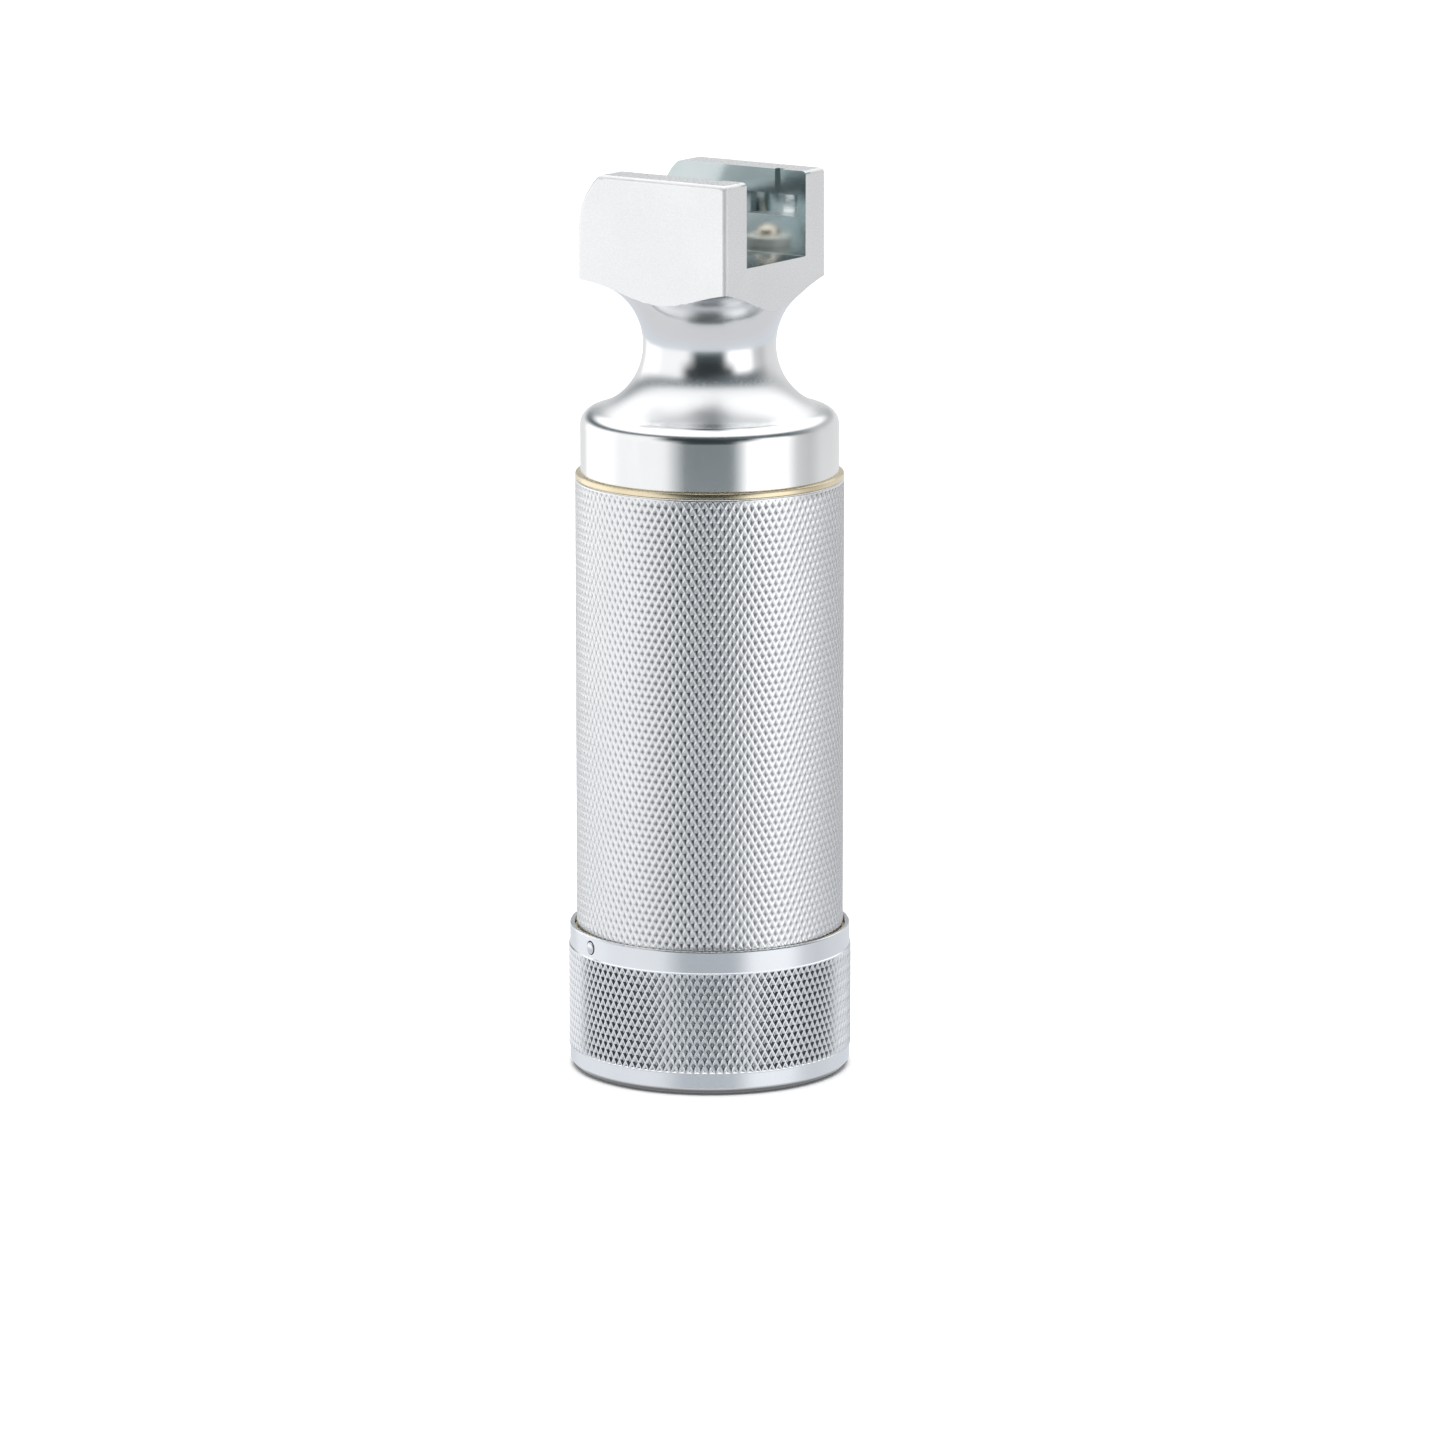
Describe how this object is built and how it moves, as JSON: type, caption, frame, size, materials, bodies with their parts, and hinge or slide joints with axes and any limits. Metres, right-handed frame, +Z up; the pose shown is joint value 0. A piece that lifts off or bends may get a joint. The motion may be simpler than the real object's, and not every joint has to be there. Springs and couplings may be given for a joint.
{
  "type": "laryngoscope handle",
  "caption": "Short knurled battery handle with a screw cap, turned neck and slotted hook-on yoke with a cross pin and sprung centre contact.",
  "frame": {"origin": "centre of the cap's base, on the surface the handle stands on", "axes": "+Z up along the tube's axis, +X along the yoke's slot to its square rear end, +Y across the ears to the ear the hinge pin is pressed in from"},
  "size_m": [0.0356, 0.0356, 0.1133],
  "materials": {
    "satin_plate": "satin nickel-chrome plate, fine brushed flats and polished neck",
    "knurled_plate": "bright plated diamond knurl with plain turned bands",
    "polished_steel": "polished steel",
    "brass": "turned brass",
    "nickel": "nickel-plated sheet",
    "spring_steel": "drawn steel wire and screws",
    "cream_plastic": "turned cream insulator",
    "black_plastic": "moulded black insulator",
    "sleeve_plastic": "pale insulating sleeve",
    "seal_rubber": "black rubber",
    "cell_jacket": "plain dark green cell jacket"
  },
  "bodies": {
    "cap": {"cap_shell": "knurled_plate", "cap_thread_ring": "brass", "cap_pin_near": "polished_steel", "cap_pin_far": "polished_steel", "pivot_screw": "spring_steel"},
    "contact_carrier": {"contact_cup": "black_plastic", "disc_retainer": "black_plastic", "disc_spring": "spring_steel"},
    "cell_stack": {"contact_disc": "nickel", "cell_positive_up": "cell_jacket", "cell_positive_down": "cell_jacket"},
    "handle": {"knurled_tube": "knurled_plate", "tube_o_ring": "seal_rubber", "brass_ring": "brass", "head": "satin_plate", "hinge_pin": "polished_steel", "contact_insulator": "cream_plastic", "plunger_spring": "spring_steel", "terminal_rod": "brass", "rod_sleeve": "sleeve_plastic", "top_contact_board": "black_plastic", "positive_contact": "nickel", "ground_contact": "nickel", "board_screw_left": "spring_steel", "board_screw_right": "spring_steel", "cell_cradle": "black_plastic"},
    "plunger": {"contact_plunger": "brass"}
  },
  "joints": [
    {"name": "cap_turn", "type": "hinge", "parent": "cap", "child": "contact_carrier", "pos_m": [0, 0, 0.009], "axis": [0, 0, 1], "range_deg": [0, 2340]},
    {"name": "cap_travel", "type": "slide", "parent": "contact_carrier", "child": "handle", "axis": [0, 0, 1], "range_m": [0, 0.01301]},
    {"name": "disc_press", "type": "slide", "parent": "contact_carrier", "child": "cell_stack", "axis": [0, 0, -1], "range_m": [0, 0.001], "stiffness_N_per_m": 1500, "springref_m": -0.0015, "deforming": ["disc_spring"]},
    {"name": "contact_press", "type": "slide", "parent": "handle", "child": "plunger", "axis": [0, 0, -1], "range_m": [0, 0.0015], "stiffness_N_per_m": 700, "springref_m": -0.0018, "deforming": ["plunger_spring"]}
  ],
  "couplings": [
    {"joint": "cap_travel", "follows": "cap_turn", "m_per_rad": 0.00031831}
  ]
}
